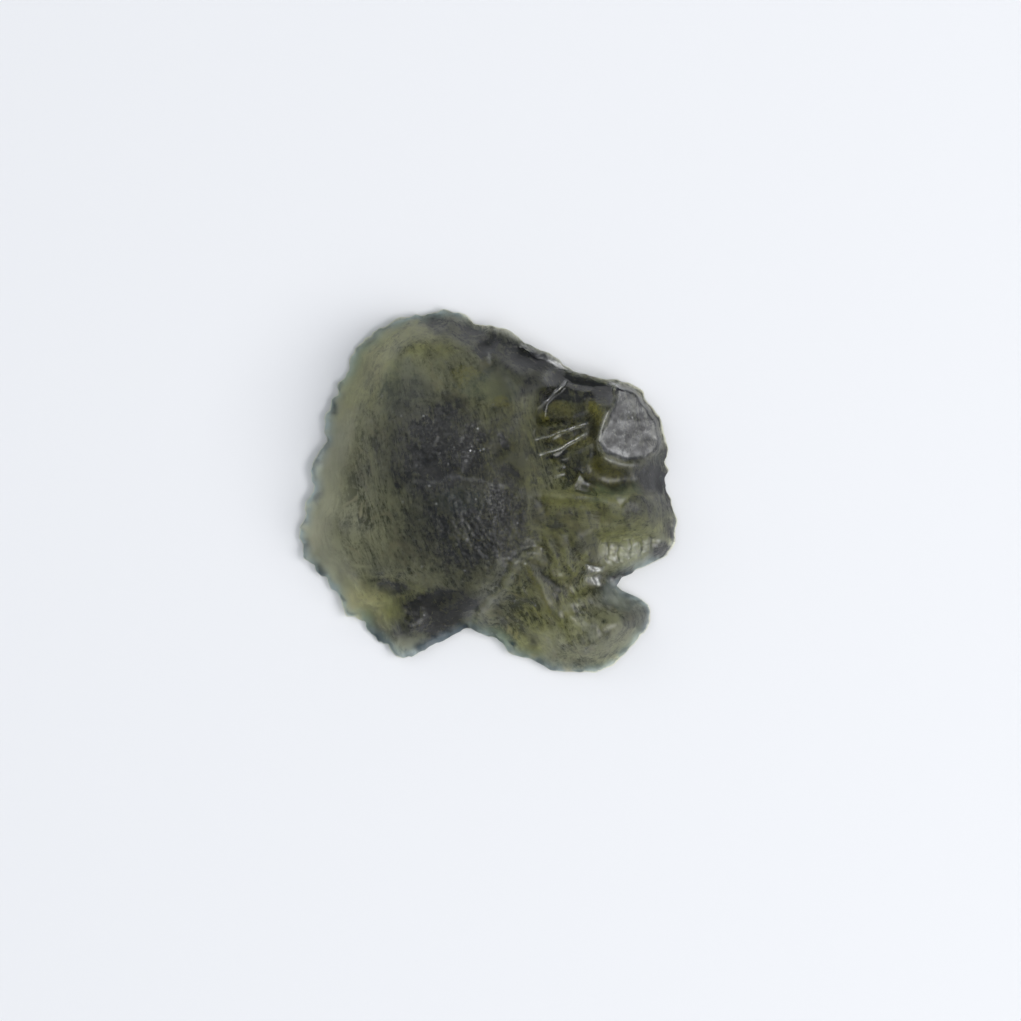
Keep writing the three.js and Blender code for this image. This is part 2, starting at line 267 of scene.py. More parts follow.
# finer faces where there is fine detail
def refine(thing):
    faces = thing.data.polygons
    flat = np.empty(len(faces) * 3, np.float32)
    faces.foreach_get("center", flat)
    co = flat.reshape(-1, 3).astype(float) / mm
    faces.foreach_get("normal", flat)
    chosen = np.zeros(len(faces), bool)
    for name in stoneMesh["finer"]:
        chosen |= field(co, areas[name], 0.02) > 0.5
    chosen &= flat.reshape(-1, 3)[:, 2] > 0
    bpy.ops.object.mode_set(mode="EDIT")
    bpy.ops.mesh.select_mode(type="FACE")
    bpy.ops.mesh.select_all(action="DESELECT")
    bpy.ops.object.mode_set(mode="OBJECT")
    faces.foreach_set("select", chosen)
    bpy.ops.object.mode_set(mode="EDIT")
    bpy.ops.mesh.subdivide(number_cuts=1, smoothness=0.0)
    bpy.ops.mesh.select_all(action="SELECT")
    bpy.ops.mesh.quads_convert_to_tris()
    bpy.ops.object.mode_set(mode="OBJECT")


# ground that is smooth before it is etched: the core and its right slope, the left band,
# the broken faces and most of the underside
def findCalm(thing):
    co, no = places(thing), normals(thing)
    above = np.maximum.reduce([
        oval(co, (-1.4, 0.6), (3.8, 5.0), 15),
        oval(co, (-6.0, 0.3), (2.2, 7.0), -6),
        field(co, areas["hollow"], 0.3),
        field(co, areas["facet"], 0.3),
        field(co, areas["cells"], 0.6),
        field(co, areas["saddle"], 1.2),
        0.4 * np.ones(len(co)),
    ])
    return np.where(no[:, 2] > 0, above, 0.6)


def copyStone():
    node = frame["nodes"]["moldavite"]
    stone = node.copy()
    stone.data = node.data.copy()
    stone.name = stone.data.name = "stone"
    stone.parent = None
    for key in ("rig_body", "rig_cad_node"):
        del stone[key]
    bpy.context.scene.collection.objects.link(stone)
    makeActive(stone)
    bpy.ops.mesh.customdata_custom_splitnormals_clear()
    bpy.ops.object.mode_set(mode="EDIT")
    bpy.ops.mesh.select_all(action="SELECT")
    bpy.ops.mesh.remove_doubles(threshold=0.001 * mm)
    bpy.ops.mesh.subdivide(number_cuts=stoneMesh["cuts"], smoothness=0.0)
    bpy.ops.mesh.quads_convert_to_tris()
    bpy.ops.object.mode_set(mode="OBJECT")
    refine(stone)
    inside, rimLevel = measureRim(stone)
    co = places(stone)
    thin = stoneMesh["rimThin"] + (1 - stoneMesh["rimThin"]) * smoothStep(inside / stoneMesh["rimReach"])
    co[:, 2] = rimLevel + (co[:, 2] - rimLevel) * thin
    co[:, 2] -= stoneMesh["rimDroop"] * (1 - smoothStep(inside / stoneMesh["droopReach"]))
    setPlaces(stone, co)
    vertexMask(stone, "inner", inside / stoneMesh["keepRim"])
    soften = stone.modifiers.new("soften", "SMOOTH")
    soften.factor = stoneMesh["softness"]
    soften.iterations = stoneMesh["softRounds"]
    soften.vertex_group = "inner"
    bpy.ops.object.modifier_apply(modifier="soften")
    vertexMask(stone, "calm", findCalm(stone) * smoothStep((inside - 0.2) / 0.6))
    calm = stone.modifiers.new("calm", "SMOOTH")
    calm.factor = stoneMesh["softness"]
    calm.iterations = stoneMesh["calmRounds"]
    calm.vertex_group = "calm"
    bpy.ops.object.modifier_apply(modifier="calm")
    stone.vertex_groups.clear()
    print("stone mesh:", len(stone.data.polygons), "faces")
    return stone, inside


stone, inside = copyStone()


# the thick core is one smooth dome under its grain
def domeCore(share=0.75):
    co, no = places(stone), normals(stone)
    mask = np.where(no[:, 2] > 0, oval(co, (-0.7, 0.2), (4.2, 4.6), 15, soft=1.0), 0)
    x, y = co[:, 0], co[:, 1]
    powers = np.column_stack([np.ones(len(co)), x, y, x * x, x * y, y * y])
    there = mask > 0.05
    best = np.linalg.lstsq(powers[there], co[there, 2], rcond=None)[0]
    co[:, 2] += share * mask * (powers @ best - co[:, 2])
    setPlaces(stone, co)


domeCore()


# sculpted lines: a rise below zero is a groove
strokes = [
    {"lines": ("ridgeA", "ridgeC"), "wide": 0.12, "rise": 0.14},
    {"lines": ("ridgeB",), "wide": 0.1, "rise": 0.12},
    {"lines": ("ripple1", "ripple2"), "wide": 0.09, "rise": 0.05},
    {"lines": ("slotB", "slotC"), "wide": 0.25, "rise": -0.08, "ends": 0.4},
    {"lines": ("slotD",), "wide": 0.12, "rise": -0.06, "ends": 0.4},
    {"lines": ("flake", "flakeLow", "flakeEnd"), "wide": 0.16, "rise": 0.12},
    {"lines": ("grooveA", "grooveB", "grooveC", "grooveD", "grooveE"), "wide": 0.6, "rise": -0.1,
     "ends": 0.5, "loose": True},
    {"lines": ("crackA", "crackB", "crackC", "crackD", "crackE"), "wide": 0.1, "rise": -0.05},
    {"lines": ("swirlA", "swirlC", "swirlD"), "wide": 0.22, "rise": 0.1, "ends": 0.4, "loose": True},
    {"lines": ("swirlB",), "wide": 0.35, "rise": -0.09, "ends": 0.4, "loose": True},
    {"lines": ("topWedge",), "wide": 0.4, "rise": -0.24, "ends": 0.4, "loose": True},
    {"lines": ("topFold",), "wide": 0.13, "rise": 0.14},
]
# steps: going along the line, the ground on the right hand stands higher
steps = [
    {"line": "ledge", "drop": 0.34, "wide": 0.08, "reach": 0.9},
    {"line": "scarp", "drop": -0.3, "wide": 0.12, "reach": 0.8},
]
# flat faces: lift over the ground there, and rise per mm along x and y; side -1 is the underside
planes = [
    {"area": "shelf", "side": 1, "lift": 0.0, "slope": (-0.03, -0.05), "soft": 0.8},
    {"area": "facet", "side": 1, "lift": 0.0, "slope": (-0.44, -0.08), "soft": 0.4},
    {"area": "hollowFloor", "side": 1, "lift": -0.3, "slope": (0.06, 0.0), "soft": 0.5},
    {"area": "hollowFoot", "side": 1, "lift": -0.05, "slope": (0.06, 0.0), "soft": 0.6},
    {"area": "wedge", "side": 1, "lift": 0.0, "slope": (-0.5, 0.1), "soft": 0.12},
    {"area": "triangle", "side": 1, "lift": 0.0, "slope": (-0.4, 0.05), "soft": 0.1},
    {"area": "chipA", "side": 1, "lift": -0.05, "slope": (-0.45, 0.08), "soft": 0.1},
    {"area": "chipB", "side": 1, "lift": -0.05, "slope": (-0.4, 0.1), "soft": 0.1},
    {"area": "flakeFace", "side": 1, "lift": 0.05, "slope": (-0.45, 0.08), "soft": 0.1},
    {"area": "cells", "side": 1, "lift": -0.05, "slope": (-0.3, 0.15), "soft": 0.8},
    {"area": "cells", "side": -1, "lift": 0.2, "slope": (0.0, 0.0), "soft": 0.9},
]
# the broken edge at the upper right is lifted
brokenEdge = {"line": [(-0.6, 7.15), (1.07, 6.7), (2.55, 5.86), (3.52, 5.17), (5.16, 4.72), (6.17, 4.56)],
              "lift": 0.8, "reach": 1.1}


def sculptStone():
    co, no = places(stone), normals(stone)
    upper = smoothStep(no[:, 2] / 0.3) * smoothStep(inside / 0.4)
    lower = smoothStep(-no[:, 2] / 0.3) * smoothStep(inside / 0.5)
    far, along, _ = toLine(co, brokenEdge["line"])
    ends = smoothStep(along / 0.15) * smoothStep((1 - along) / 0.15)
    co[:, 2] += brokenEdge["lift"] * ends * (1 - smoothStep(far / brokenEdge["reach"]))
    waved = ragged(co, 0.05, 0.4)
    loose = ragged(ragged(co, 0.3, 0.8), 0.1, 0.25)
    for each in planes:
        tilt = co[:, :2] @ each["slope"]
        share = field(waved, areas[each["area"]], each["soft"]) * (upper if each["side"] > 0 else lower)
        level = np.average(co[:, 2] - tilt, weights=share) + each["lift"] + tilt
        co[:, 2] += share * (level - co[:, 2])
    rise = np.zeros(len(co))
    for each in strokes:
        for name in each["lines"]:
            where = loose if each.get("loose") else waved
            rise += each["rise"] * stroke(where, lines[name], each["wide"], each.get("ends", 0.12))
    for each in steps:
        far, along, side = toLine(waved, lines[each["line"]])
        ends = smoothStep(along / 0.1) * smoothStep((1 - along) / 0.1)
        level = smoothStep(far / each["wide"]) * (1 - smoothStep(far / each["reach"]))
        rise -= side * level * ends * each["drop"] / 2
    co[:, 2] += rise * upper
    setPlaces(stone, co)
    print("ledges, ridges and cracks cut")


sculptStone()


# regions that are etched each in its own way
def findRegions():
    co, no = places(stone), normals(stone)
    waved = ragged(co, 0.35, 0.8)
    upper = smoothStep((no[:, 2] + 0.1) / 0.4)
    found = {
        "core": np.maximum(oval(waved, (-1.9, 2.0), (2.7, 3.1), 20), oval(waved, (-1.0, -1.6), (3.2, 2.8))),
        "middle": oval(waved, (0.9, 2.6), (1.5, 2.8)),
        "hollow": field(co, areas["hollow"], 0.4),
        "facet": field(waved, areas["facet"], 0.2),
        "rightLobe": oval(waved, (4.6, -1.6), (3.6, 1.8)),
        "lowerLobe": oval(waved, (2.6, -4.6), (3.4, 2.6), 25),
        "leftBand": oval(waved, (-6.2, 0.3), (1.9, 7.0), -6),
        "lowerLeft": oval(waved, (-3.6, -5.2), (3.0, 1.8), -15),
        "top": oval(waved, (-1.6, 6.0), (3.2, 1.6)),
    }
    found = {name: mask * upper for name, mask in found.items()}
    found["upper"] = upper * (1 - found["hollow"]) * (1 - found["facet"]) * (1 - 0.85 * found["leftBand"])
    found["under"] = smoothStep((-no[:, 2] - 0.2) / 0.4) * smoothStep((co[:, 2] - 0.02) / 0.1)
    found["under"] *= smoothStep((inside - 0.4) / 1.2) * (1 - field(co, areas["cells"], 0.6))
    return {name: mask * smoothStep(inside / 0.5) for name, mask in found.items()}


region = findRegions()

# flow wrinkles run along turn; across and along are their width and length
wrinkles = [
    {"in": "core", "turn": 118, "across": 0.8, "along": 1.5, "depth": 0.05},
    {"in": "middle", "turn": 100, "across": 0.7, "along": 1.5, "depth": 0.02},
    {"in": "rightLobe", "turn": 174, "across": 0.4, "along": 1.6, "depth": 0.06},
    {"in": "lowerLobe", "turn": -62, "across": 0.45, "along": 2.2, "depth": 0.11},
    {"in": "leftBand", "turn": 84, "across": 0.8, "along": 1.8, "depth": 0.04},
    {"in": "lowerLeft", "turn": 25, "across": 0.7, "along": 1.1, "depth": 0.1},
    {"in": "top", "turn": 115, "across": 0.6, "along": 1.6, "depth": 0.09},
]


def wrinkleFlow():
    co = places(stone)
    waved = ragged(co, 0.25, 0.9)
    for i, flow in enumerate(wrinkles):
        mask = region[flow["in"]]
        there = np.nonzero(mask > 0.01)[0]
        a = math.radians(flow["turn"])
        along = (waved[there, 0] * math.cos(a) + waved[there, 1] * math.sin(a)) / flow["along"]
        across = (waved[there, 1] * math.cos(a) - waved[there, 0] * math.sin(a)) / flow["across"]
        layer = np.full(len(there), 7.3 * i)
        spots = np.column_stack([across, along, layer])
        lift = np.array([noise.fractal(Vector(p), 0.8, 2.1, 3) for p in spots])
        co[there, 2] += flow["depth"] * lift * mask[there]
    setPlaces(stone, co)
    print("flow wrinkles done")


wrinkleFlow()

# nubs along the rim, bolder on the left
nubs = {"size": 0.5, "out": 0.24, "fine": 0.2, "fineOut": 0.07, "trim": 0.05, "reach": 0.8}


def scallopRim():
    co = places(stone)
    broad = np.array([noise.noise(Vector((x, y, 0)) / nubs["size"]) for x, y, _ in co])
    fine = np.array([noise.noise(Vector((x, y, 5)) / nubs["fine"]) for x, y, _ in co])
    side = 1 - 0.5 * smoothStep((co[:, 0] + 4) / 4)
    push = (nubs["out"] * broad + nubs["fineOut"] * fine) * side - nubs["trim"]
    push *= 1 - smoothStep(inside / nubs["reach"])
    out = co[:, :2] / np.maximum(np.hypot(co[:, 0], co[:, 1]), 0.1)[:, None]
    co[:, :2] += out * push[:, None]
    setPlaces(stone, co)
    print("rim nubs done")


scallopRim()

# etched sculpture: cells with a depth above zero are round pits, below zero round knobs;
# clouds are an even grain
etching = [
    {"in": "core", "kind": "VORONOI", "depth": -0.025, "size": 0.3, "stretch": 1.5, "turn": 15},
    {"in": "core", "kind": "CLOUDS", "depth": 0.06, "size": 0.12, "stretch": 1.2, "turn": 15},
    {"in": "upper", "kind": "VORONOI", "depth": 0.03, "size": 0.45, "stretch": 1.3, "turn": -10},
    {"in": "upper", "kind": "CLOUDS", "depth": 0.035, "size": 0.14, "stretch": 1.3, "turn": 30},
    {"in": "facet", "kind": "VORONOI", "depth": 0.03, "size": 0.5, "stretch": 1.0, "turn": 0},
    {"in": "rightLobe", "kind": "VORONOI", "depth": -0.03, "size": 0.35, "stretch": 1.3, "turn": 5},
    {"in": "lowerLeft", "kind": "VORONOI", "depth": 0.06, "size": 0.4, "stretch": 1.2, "turn": 40},
    {"in": "under", "kind": "VORONOI", "depth": 0.1, "size": 0.7, "stretch": 1.2, "turn": 20},
    {"in": "under", "kind": "CLOUDS", "depth": 0.06, "size": 0.25, "stretch": 1.5, "turn": 20},
]
leastGlass = 0.05  # thinnest the glass may be away from the rim


def etchStone():
    for name in sorted({cut["in"] for cut in etching}):
        vertexMask(stone, name, region[name])
    for cut in etching:
        texture = bpy.data.textures.new("etch", cut["kind"])
        texture.noise_scale = cut["size"]
        if cut["kind"] == "VORONOI":
            texture.distance_metric = "DISTANCE_SQUARED"
        else:
            texture.noise_depth = 2
        guide = bpy.data.objects.new("etchGuide", None)
        bpy.context.scene.collection.objects.link(guide)
        guide.rotation_euler[2] = math.radians(cut["turn"])
        guide.scale = (mm, mm * cut["stretch"], mm)
        bpy.context.view_layer.update()
        makeActive(stone)
        displace = stone.modifiers.new("etch", "DISPLACE")
        displace.texture = texture
        displace.texture_coords = "OBJECT"
        displace.texture_coords_object = guide
        displace.vertex_group = cut["in"]
        displace.strength = cut["depth"] * mm
        displace.mid_level = 0.5
        bpy.ops.object.modifier_apply(modifier="etch")
        bpy.data.objects.remove(guide)
    stone.vertex_groups.clear()
    print("etching done")


# the upper side keeps clear of the underside, and nothing goes below the floor
def keepGlass():
    co, no = places(stone), normals(stone)
    co[:, 2] = np.maximum(co[:, 2], 0)
    lower = np.nonzero(no[:, 2] < 0)[0]
    tree = kdtree.KDTree(len(lower))
    for i, index in enumerate(lower):
        tree.insert((co[index, 0], co[index, 1], 0), i)
    tree.balance()
    for index in np.nonzero((no[:, 2] > 0) & (inside > 0.05) & (inside < 2))[0]:
        below = co[lower[tree.find((co[index, 0], co[index, 1], 0))[1]], 2]
        co[index, 2] = max(co[index, 2], below + leastGlass * min(1, inside[index] / 0.2))
    setPlaces(stone, co)


etchStone()
keepGlass()
makeActive(stone)
bpy.ops.object.shade_smooth_by_angle(angle=math.radians(75))  # the rim stays a sharp edge


# how far each point stands out of the ground around it, from -1 in a pit to 1 on a ridge
def findRelief(rounds=60, full=0.1):
    co, no = places(stone), normals(stone)
    ends = np.empty(len(stone.data.edges) * 2, np.int32)
    stone.data.edges.foreach_get("vertices", ends)
    one, other = ends.reshape(-1, 2).T
    start, stop = np.concatenate([one, other]), np.concatenate([other, one])
    count = np.bincount(start, minlength=len(co))
    ground = co.copy()
    for _ in range(rounds):
        ground = np.column_stack([np.bincount(start, ground[stop, k], len(co)) / count for k in range(3)])
    return np.clip(((co - ground) * no).sum(axis=1) / full, -1, 1)


# what the glass shows where, from 0 to 1, kept on the mesh for the material
tints = {
    "darkTintAndShade": [  # dark: painted shade in the hollow, the grooves, slots, cracks and crease foot, and along the bevel and the broken edges, where little light comes back up; elsewhere a dark tint over the core and patches
        {"at": (-3.6, 5.5), "half": (0.25, 1.0), "turn": -25, "much": 0.4},
        {"at": (-4.7, 4.8), "half": (0.2, 0.9), "turn": -30, "much": 0.35},
        {"at": (-2.4, 6.2), "half": (0.3, 0.9), "turn": 20, "much": 0.4},
        {"at": (-1.0, 6.3), "half": (0.35, 0.9), "turn": 15, "much": 0.6},
        {"at": (-2.9, 4.3), "half": (0.25, 0.8), "turn": -15, "much": 0.35},
        {"at": (-5.4, 3.3), "half": (0.2, 0.9), "turn": -12, "much": 0.3},
        {"at": (-2.0, 1.6), "half": (2.5, 2.6), "turn": 20, "much": 1.0},
        {"at": (-0.6, -1.2), "half": (3.0, 2.6), "much": 0.95},
        {"at": (-3.0, 3.4), "half": (1.2, 1.8), "turn": 20, "much": 0.85},
        {"at": (-3.3, 4.9), "half": (0.7, 0.7), "much": 0.6},
        {"at": (-4.2, 5.2), "half": (1.2, 1.2), "much": 0.3},
        {"at": (-2.8, 6.6), "half": (1.6, 0.4), "turn": -8, "much": 0.5},
        {"at": (2.6, 4.1), "half": (0.7, 0.8), "much": 1.0},
        {"at": (0.8, 1.2), "half": (1.0, 0.7), "much": 0.85},
        {"at": (4.6, 4.1), "half": (0.4, 0.3), "much": 1.0},
        {"at": (5.2, 0.3), "half": (0.8, 0.3), "much": 0.7},
        {"at": (3.9, -2.0), "half": (0.7, 0.5), "much": 0.8},
        {"at": (7.3, -2.5), "half": (0.5, 0.35), "much": 1.0},
        {"at": (5.6, -3.65), "half": (0.6, 0.35), "turn": 25, "much": 0.9},
        {"at": (6.6, -5.4), "half": (0.4, 0.5), "much": 0.8},
        {"at": (-2.0, -6.0), "half": (0.8, 0.35), "turn": 30, "much": 0.9},
        {"at": (-5.8, -3.5), "half": (0.6, 0.3), "much": 0.5},
        {"at": (5.4, -1.1), "half": (1.8, 0.6), "much": 0.5},
        {"at": (0.7, 1.4), "half": (1.2, 2.0), "much": 0.75},
        {"area": "hollow", "soft": 0.3, "much": 0.75},
        {"at": (3.8, 4.3), "half": (1.8, 0.7), "turn": -10, "much": 1.0},
        {"at": (1.6, 5.5), "half": (2.6, 0.9), "turn": -27, "much": 0.95},
        {"lines": ("bevelFoot",), "wide": 1.0, "much": 0.85},
        {"at": (-1.3, 6.8), "half": (1.5, 0.5), "turn": -12, "much": 0.95},
        {"at": (-1.0, 5.0), "half": (1.2, 0.8), "much": 0.5},
        {"at": (2.0, 4.5), "half": (0.8, 0.4), "turn": 35, "much": 1.0},
        {"at": (1.5, 1.5), "half": (0.5, 0.6), "much": 0.8},
        {"at": (6.3, -0.7), "half": (0.9, 0.5), "much": 0.9},
        {"at": (4.9, 0.7), "half": (1.0, 0.6), "much": 0.85},
        {"at": (-2.8, -5.4), "half": (0.6, 0.5), "much": 1.0},
        {"at": (7.2, 3.3), "half": (0.35, 0.7), "turn": 30, "much": 1.0},
        {"at": (0.7, -4.8), "half": (0.6, 0.8), "much": 0.5},
        {"lines": ("cornerEdge",), "wide": 0.5, "much": 0.9},
        {"lines": ("swirlB",), "wide": 0.35, "ends": 0.3, "loose": True, "much": 0.7},
        {"at": (-0.1, 5.9), "half": (0.6, 0.5), "much": 0.95},
        {"at": (0.6, -0.6), "half": (1.0, 1.2), "much": 0.65},
        {"at": (2.3, -4.8), "half": (0.9, 1.2), "much": 0.3},
        {"lines": ("rightRim",), "wide": 0.8, "much": 0.9},
        {"area": "facet", "soft": 0.2, "much": 1.0},
        {"at": (6.9, 0.6), "half": (0.9, 0.8), "much": 0.95},
        {"at": (7.0, -0.7), "half": (1.0, 0.7), "much": 0.85},
        {"at": (-2.0, -5.0), "half": (2.0, 1.0), "turn": 20, "much": 1.0},
        {"at": (-3.4, -5.5), "half": (0.7, 0.9), "turn": -20, "much": 0.9},
        {"at": (-4.5, -5.6), "half": (0.5, 0.4), "turn": -30, "much": 0.5},
        {"at": (-4.3, -4.0), "half": (1.0, 0.35), "turn": -8, "much": 0.95},
        {"at": (-6.0, -1.9), "half": (1.3, 1.4), "much": 0.35},
        {"at": (-4.6, -3.0), "half": (1.2, 0.8), "much": 0.35},
        {"at": (2.4, 1.1), "half": (0.7, 0.6), "much": 0.5},
        {"at": (4.4, -2.6), "half": (0.35, 0.5), "much": 0.8},
        {"at": (3.2, -1.6), "half": (1.8, 1.0), "much": 0.55},
        {"at": (2.4, -4.0), "half": (0.5, 1.7), "turn": 28, "much": 0.6},
        {"at": (6.1, -5.3), "half": (0.7, 0.5), "turn": 20, "much": 0.85},
        {"at": (4.4, -6.8), "half": (1.6, 0.5), "turn": 10, "much": 0.5},
        {"at": (4.4, -5.6), "half": (2.4, 1.6), "turn": 25, "much": 0.5},
        {"at": (6.2, 2.7), "half": (0.2, 0.18), "much": 1.0},
        {"lines": ("crackA", "crackB", "crackC", "crackD", "crackE"), "wide": 0.14, "much": 0.5},
        {"lines": ("blackBand",), "wide": 0.55, "much": 1.0},
        {"lines": ("bevelEdge",), "wide": 0.9, "much": 0.9},
        {"at": (-1.6, -4.8), "half": (0.9, 0.6), "much": 1.0},
        {"lines": ("slotB", "slotC"), "wide": 0.25, "much": 1.0},
        {"lines": ("grooveA", "grooveB", "grooveC", "grooveD", "grooveE", "creaseFoot"), "wide": 0.55,
         "much": 1.0},
    ],
    "blue": [  # dark blue-grey edges
        {"lines": ("blueA", "blueB"), "wide": 0.45, "ends": 0.4, "loose": True, "much": 0.95},
        {"lines": ("blueC",), "wide": 0.4, "ends": 0.4, "loose": True, "much": 0.95},
        {"lines": ("blueD", "blueE"), "wide": 0.3, "ends": 0.4, "loose": True, "much": 0.8},
        {"lines": ("cornerEdge",), "wide": 0.4, "much": 1.0},
        {"at": (1.1, -6.54), "half": (0.16, 0.14), "much": 1.0},
        {"at": (-1.2, -0.4), "half": (1.1, 0.45), "much": 0.6},
        {"at": (6.3, -4.6), "half": (0.3, 0.12), "turn": -20, "much": 0.7},
    ],
    "olive": [  # yellower green
        {"at": (3.8, -1.4), "half": (3.6, 1.5), "much": 1.0},
        {"at": (3.4, -4.4), "half": (0.9, 2.2), "turn": 10, "much": 1.0},
        {"at": (2.2, -4.6), "half": (1.3, 2.4), "turn": 28, "much": 0.5},
        {"at": (1.2, 1.6), "half": (1.6, 2.2), "much": 0.7},
        {"at": (-5.0, 4.8), "half": (1.2, 1.8), "turn": -35, "much": 0.5},
        {"at": (-4.2, -4.6), "half": (1.7, 1.1), "much": 0.6},
        {"at": (1.0, -5.6), "half": (1.0, 0.9), "much": 0.6},
        {"at": (4.6, -6.2), "half": (2.0, 1.2), "much": 0.45},
        {"at": (-2.6, -5.1), "half": (2.0, 0.9), "much": 1.0},
        {"at": (-2.6, 6.4), "half": (2.2, 0.7), "much": 0.7},
        {"at": (2.0, -5.6), "half": (1.3, 1.2), "much": 0.8},
        {"area": "hollow", "soft": 0.3, "much": 0.8},
    ],
    "cool": [  # bluish grey glass; along the rim painted, standing for the bluish surroundings seen through the thin edge
        {"at": (-3.4, 4.4), "half": (1.0, 1.2), "much": 0.4},
        {"at": (5.2, 0.0), "half": (1.1, 0.4), "much": 0.5},
        {"at": (0.2, 4.4), "half": (1.4, 0.7), "much": 0.4},
        {"at": (5.6, -4.5), "half": (0.8, 0.4), "turn": -10, "much": 0.6},
    ],
    "warm": [  # yellow-olive glimpses
        {"at": (3.2, 3.4), "half": (0.6, 0.35), "much": 0.4},
        {"at": (3.4, 2.2), "half": (0.8, 0.4), "much": 0.45},
        {"at": (2.37, 3.23), "half": (0.2, 0.25), "much": 0.7},
        {"lines": ("amberBow",), "wide": 0.42, "ends": 0.3, "much": 0.9},
        {"at": (4.9, 0.9), "half": (0.7, 0.5), "much": 0.35},
        {"at": (-0.9, 4.8), "half": (0.5, 0.35), "much": 0.3},
        {"at": (0.6, 3.7), "half": (0.4, 0.25), "much": 0.5},
        {"lines": ("swirlA", "swirlC"), "wide": 0.2, "much": 0.5},
    ],
    "pale": [  # thin cells that let more light through; the mask also takes the painted glow along the left rim
        {"at": (-4.1, 5.4), "half": (0.2, 0.8), "turn": -28, "much": 0.6},
        {"at": (-1.9, 5.6), "half": (0.2, 0.7), "turn": 10, "much": 0.5},
        {"at": (-3.2, 6.7), "half": (0.5, 0.2), "turn": 20, "much": 0.7},
        {"at": (0.4, 4.3), "half": (0.5, 0.7), "much": 0.8},
        {"area": "triangle", "soft": 0.1, "much": 1.0},
        {"lines": ("outerFlake",), "wide": 0.3, "much": 0.7},
        {"at": (-3.3, -6.4), "half": (0.35, 0.3), "much": 1.0},
        {"lines": ("goldLine",), "wide": 0.14, "much": 1.0},
        {"at": (-4.2, -5.0), "half": (0.6, 0.8), "much": 0.5},
        {"at": (-4.4, 6.8), "half": (1.2, 0.4), "turn": 35, "much": 0.8},
        {"at": (5.8, -4.45), "half": (0.6, 0.25), "much": 0.8},
        {"at": (2.2, -6.4), "half": (0.8, 0.8), "much": 0.5},
        {"at": (-6.1, -4.6), "half": (0.3, 0.4), "much": 0.9},
        {"at": (-5.0, -4.3), "half": (0.5, 0.4), "much": 0.3},
        {"at": (-2.6, -3.7), "half": (0.8, 0.25), "turn": 5, "much": 0.4},
    ],
    "frost": [  # grey, rough broken skin
        {"area": "facet", "soft": 0.3, "loose": True, "much": 0.3},
        {"lines": ("facetStrip",), "wide": 0.5, "much": 0.3},
        {"at": (5.4, 1.6), "half": (0.5, 0.35), "much": 0.6},
        {"at": (4.4, -3.45), "half": (0.5, 0.35), "much": 0.8},
        {"at": (5.6, -4.4), "half": (0.8, 0.3), "much": 0.4},
        {"at": (6.7, 2.7), "half": (0.3, 0.5), "much": 0.35},
        {"at": (6.2, 4.0), "half": (0.4, 0.3), "much": 0.3},
        {"area": "cells", "soft": 0.5, "much": 0.36},
        {"area": "flakeFace", "soft": 0.1, "much": 1.0},
        {"area": "wedge", "soft": 0.12, "much": 0.3},
        {"area": "triangle", "soft": 0.1, "much": 0.3},
        {"area": "chipA", "soft": 0.12, "much": 1.0},
        {"area": "chipB", "soft": 0.12, "much": 0.7},
        {"lines": ("ripple1", "ripple2", "wallGlint"), "wide": 0.08, "much": 0.4},
        {"lines": ("crease",), "wide": 0.13, "ends": 0.3, "loose": True, "much": 0.3},
        {"lines": ("ledge",), "wide": 0.1, "much": 0.3},
        {"lines": ("swirlC", "swirlD"), "wide": 0.12, "much": 0.3},
        {"lines": ("rightEdge",), "wide": 0.4, "much": 0.2},
        {"lines": ("lobeSeam",), "wide": 0.6, "much": 0.35},
        {"lines": ("scarp",), "wide": 0.7, "much": 0.4},
        {"lines": ("flake", "flakeLow", "flakeEnd"), "wide": 0.26, "much": 0.9},
        {"lines": ("bevelEdge",), "wide": 0.6, "much": 0.12},
        {"lines": ("topFold",), "wide": 0.12, "much": 0.8},
        {"lines": ("outerFlake",), "wide": 0.3, "much": 0.7},
        {"at": (4.1, -5.9), "half": (0.6, 0.8), "turn": 15, "much": 0.45},
        {"at": (5.4, -6.2), "half": (0.8, 0.8), "much": 0.2},
        {"at": (2.9, -6.3), "half": (0.5, 0.6), "much": 0.4},
        {"at": (0.0, -5.0), "half": (0.5, 0.6), "much": 0.25},
        {"at": (-7.3, 0.2), "half": (0.6, 2.2), "turn": -6, "much": 0.22},
        {"at": (-4.9, 6.6), "half": (1.4, 0.4), "turn": 38, "much": 0.2},
    ],
    "ridge": [  # unbroken bright ridges of the hollow
        {"lines": ("ridgeA", "ridgeC"), "wide": 0.11, "much": 0.8},
        {"lines": ("ridgeB",), "wide": 0.09, "much": 0.7},
    ],
    "clean": [  # free of frost and worn skin
        {"lines": ("creaseFoot",), "wide": 0.55, "much": 0.9},
        {"lines": ("rightRim",), "wide": 0.7, "much": 0.9},
        {"at": (7.2, 3.3), "half": (0.35, 0.7), "turn": 30, "much": 0.9},
        {"at": (3.0, -1.2), "half": (1.8, 1.0), "much": 0.8},
        {"at": (3.4, -4.8), "half": (0.6, 1.6), "much": 0.6},
        {"lines": ("blackBand",), "wide": 0.7, "much": 0.9},
        {"at": (2.0, 4.5), "half": (0.8, 0.5), "turn": 35, "much": 0.9},
        {"at": (1.2, 1.2), "half": (1.0, 0.9), "much": 0.8},
        {"at": (4.9, 0.7), "half": (1.2, 0.7), "much": 0.8},
        {"at": (-1.8, -5.0), "half": (1.2, 0.7), "much": 0.7},
        {"lines": ("bevelFoot",), "wide": 0.9, "much": 0.7},
        {"area": "hollow", "soft": 0.3, "much": 0.7},
    ],
    "pits": [  # clear pits in the frosted facet
        {"at": (5.75, 2.35), "half": (0.16, 0.2), "much": 1.0},
        {"at": (6.05, 2.95), "half": (0.22, 0.14), "much": 1.0},
        {"at": (6.45, 2.7), "half": (0.16, 0.2), "much": 0.9},
        {"at": (6.15, 2.55), "half": (0.35, 0.25), "turn": 30, "much": 0.9},
